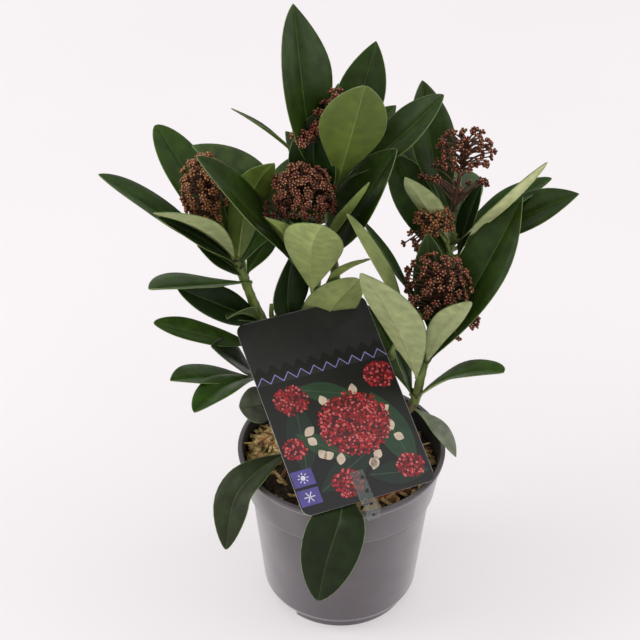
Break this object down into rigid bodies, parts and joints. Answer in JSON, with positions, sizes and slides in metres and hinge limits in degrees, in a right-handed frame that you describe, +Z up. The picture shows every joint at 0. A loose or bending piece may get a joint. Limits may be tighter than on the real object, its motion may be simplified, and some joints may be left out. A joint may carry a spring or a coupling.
{
  "type": "potted skimmia shrub",
  "caption": "Young budded skimmia, an evergreen shrub, in a plastic nursery pot with a blank printed plant card clipped to the rim",
  "frame": {"origin": "centre of the pot's flat underside, where it stands on the ground", "axes": "+Z up, -Y towards the side the plant card faces, +X to the viewer's right of the card"},
  "size_m": [0.2591, 0.231, 0.3392],
  "materials": {
    "pot": "matte",
    "compost": "rough",
    "card": "satin",
    "clip": "gloss",
    "stem": "rough",
    "shoot": "satin",
    "foliage": "satin"
  },
  "bodies": {
    "root": {"pot": "pot", "soil": "compost", "plant_card": "card", "card_clip": "clip", "main_stem": "stem", "bough_left": "shoot", "bough_centre": "shoot", "bough_top": "shoot", "bough_right": "shoot", "bough_right_high": "shoot", "bough_back_left": "shoot", "bough_back": "shoot", "bough_back_right": "shoot", "rim_leaf_left": "foliage", "rim_leaf_front": "foliage", "foliage_left": "foliage", "foliage_lower_left": "foliage", "foliage_centre": "foliage", "foliage_top": "foliage", "foliage_right": "foliage", "foliage_low_right": "foliage", "foliage_right_high": "foliage", "foliage_back_left": "foliage", "foliage_back": "foliage", "foliage_back_right": "foliage"}
  },
  "joints": []
}
